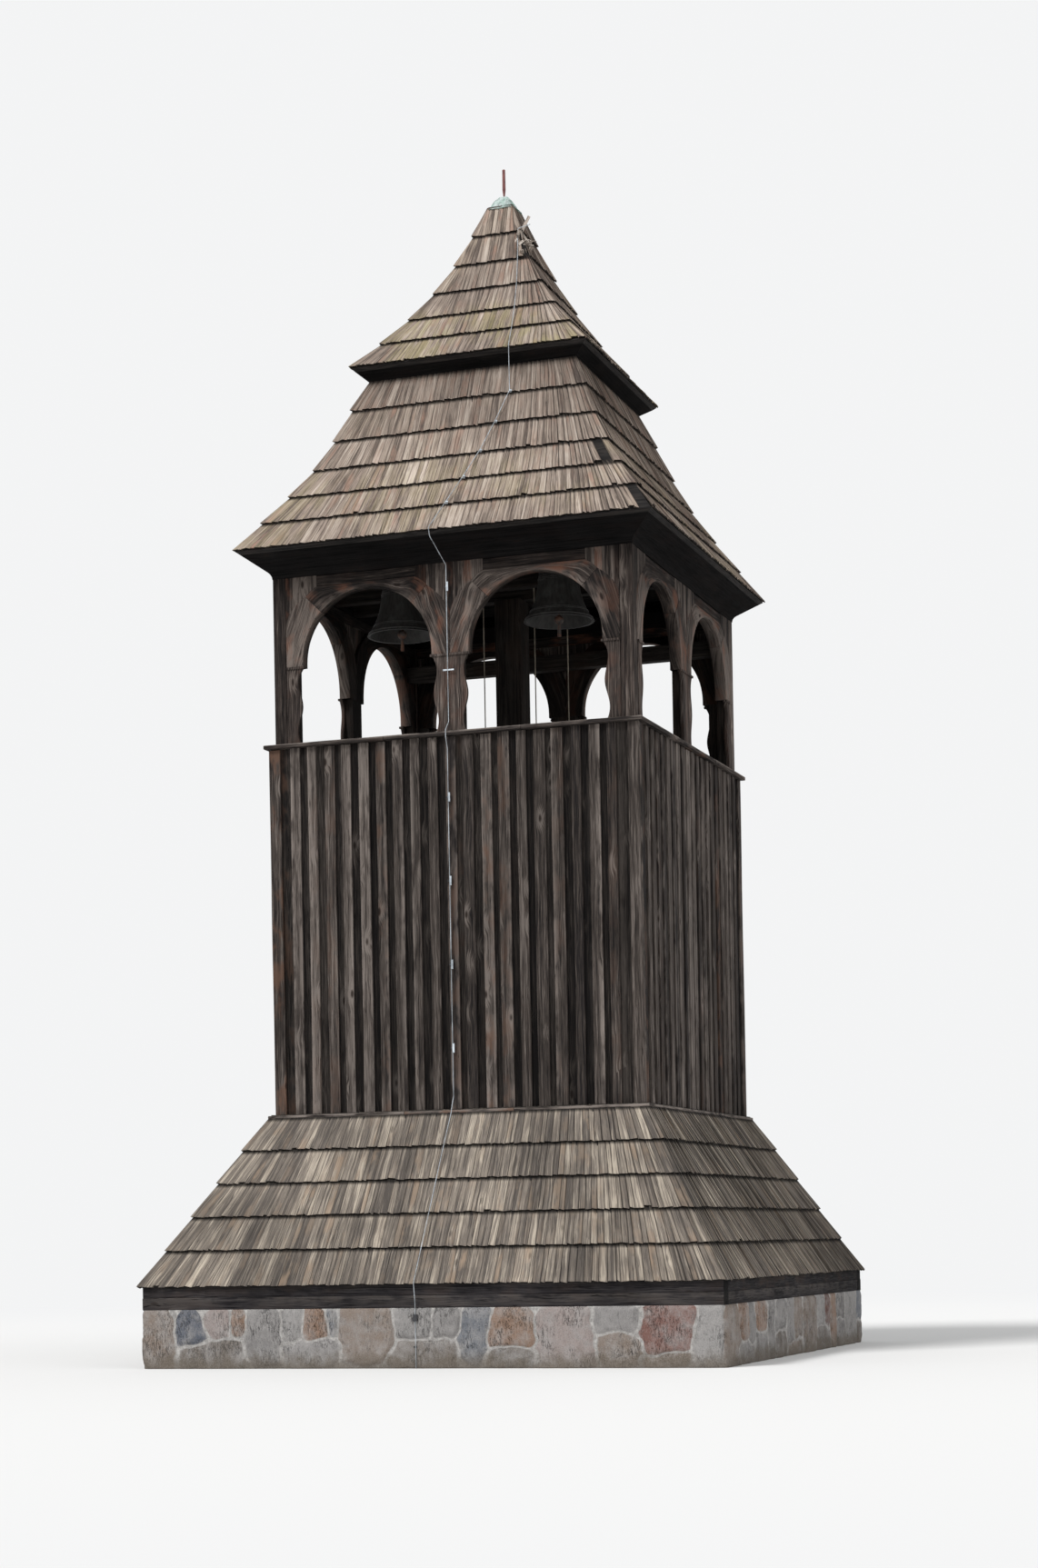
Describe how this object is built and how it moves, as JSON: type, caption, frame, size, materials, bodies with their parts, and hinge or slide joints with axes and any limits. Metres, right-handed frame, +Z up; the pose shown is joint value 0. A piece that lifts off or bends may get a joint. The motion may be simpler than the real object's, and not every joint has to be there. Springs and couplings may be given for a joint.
{
  "type": "bell tower",
  "caption": "Square timber bell tower on a stone plinth with a shingled skirt, boarded shaft, open arched belfry with swinging bells, and a stepped bell-cast roof.",
  "frame": {"origin": "middle of the plinth at ground level", "axes": "+Z up, -Y out of the front that carries the lightning conductor, +X to the front's right"},
  "size_m": [7.2842, 7.3094, 15.12],
  "materials": {
    "fieldstone": "rough split boulders in raised lime pointing",
    "sill_wood": "dark weathered beams",
    "wall_boards": "weathered rough boards, dark brown to grey",
    "carved_wood": "weathered sawn boards with worn reddish patches",
    "frame_wood": "old dark frame timber",
    "shingles": "silvered split shingles",
    "copper": "verdigris sheet copper",
    "rusty_iron": "rusty red iron",
    "bell_bronze": "dull dark bronze",
    "rope": "old pulling rope",
    "galvanised": "dull zinc"
  },
  "bodies": {
    "tower": {"arcade_posts": "frame_wood", "arch_timbers_front": "carved_wood", "arch_timbers_left": "carved_wood", "arch_timbers_rear": "carved_wood", "arch_timbers_right": "carved_wood", "bearing_blocks": "rusty_iron", "belfry_floor": "frame_wood", "bell_frame": "frame_wood", "bell_ropes": "rope", "conductor_fittings": "galvanised", "conductor_wire": "galvanised", "corner_posts": "carved_wood", "eave_beams": "frame_wood", "finial_spike": "rusty_iron", "impost_ledges": "carved_wood", "jamb_boards": "carved_wood", "lower_ledge": "wall_boards", "main_roof_front": "shingles", "main_roof_left": "shingles", "main_roof_rear": "shingles", "main_roof_right": "shingles", "plinth": "fieldstone", "roof_cap": "copper", "shaft_wall_front": "wall_boards", "shaft_wall_left": "wall_boards", "shaft_wall_rear": "wall_boards", "shaft_wall_right": "wall_boards", "sill_lower": "sill_wood", "sill_upper": "sill_wood", "skirt_roof_front": "shingles", "skirt_roof_left": "shingles", "skirt_roof_rear": "shingles", "skirt_roof_right": "shingles", "soffits": "wall_boards", "upper_ledge": "wall_boards", "upper_roof_front": "shingles", "upper_roof_left": "shingles", "upper_roof_rear": "shingles", "upper_roof_right": "shingles"},
    "left_bell": {"bell_left": "bell_bronze", "yoke_left": "frame_wood"},
    "left_clapper": {"clapper_left": "rusty_iron"},
    "right_bell": {"bell_right": "bell_bronze", "yoke_right": "frame_wood"},
    "right_clapper": {"clapper_right": "rusty_iron"}
  },
  "joints": [
    {"name": "left_bell_swing", "type": "hinge", "parent": "tower", "child": "left_bell", "pos_m": [-1.03, -1.21, 9.85], "axis": [0, 1, 0], "range_deg": [-60, 60]},
    {"name": "left_clapper_swing", "type": "hinge", "parent": "left_bell", "child": "left_clapper", "pos_m": [-1.03, -1.21, 9.57], "axis": [0, 1, 0], "range_deg": [-30, 30]},
    {"name": "right_bell_swing", "type": "hinge", "parent": "tower", "child": "right_bell", "pos_m": [1.03, -1.21, 9.85], "axis": [0, 1, 0], "range_deg": [-60, 60]},
    {"name": "right_clapper_swing", "type": "hinge", "parent": "right_bell", "child": "right_clapper", "pos_m": [1.03, -1.21, 9.57], "axis": [0, 1, 0], "range_deg": [-30, 30]}
  ]
}
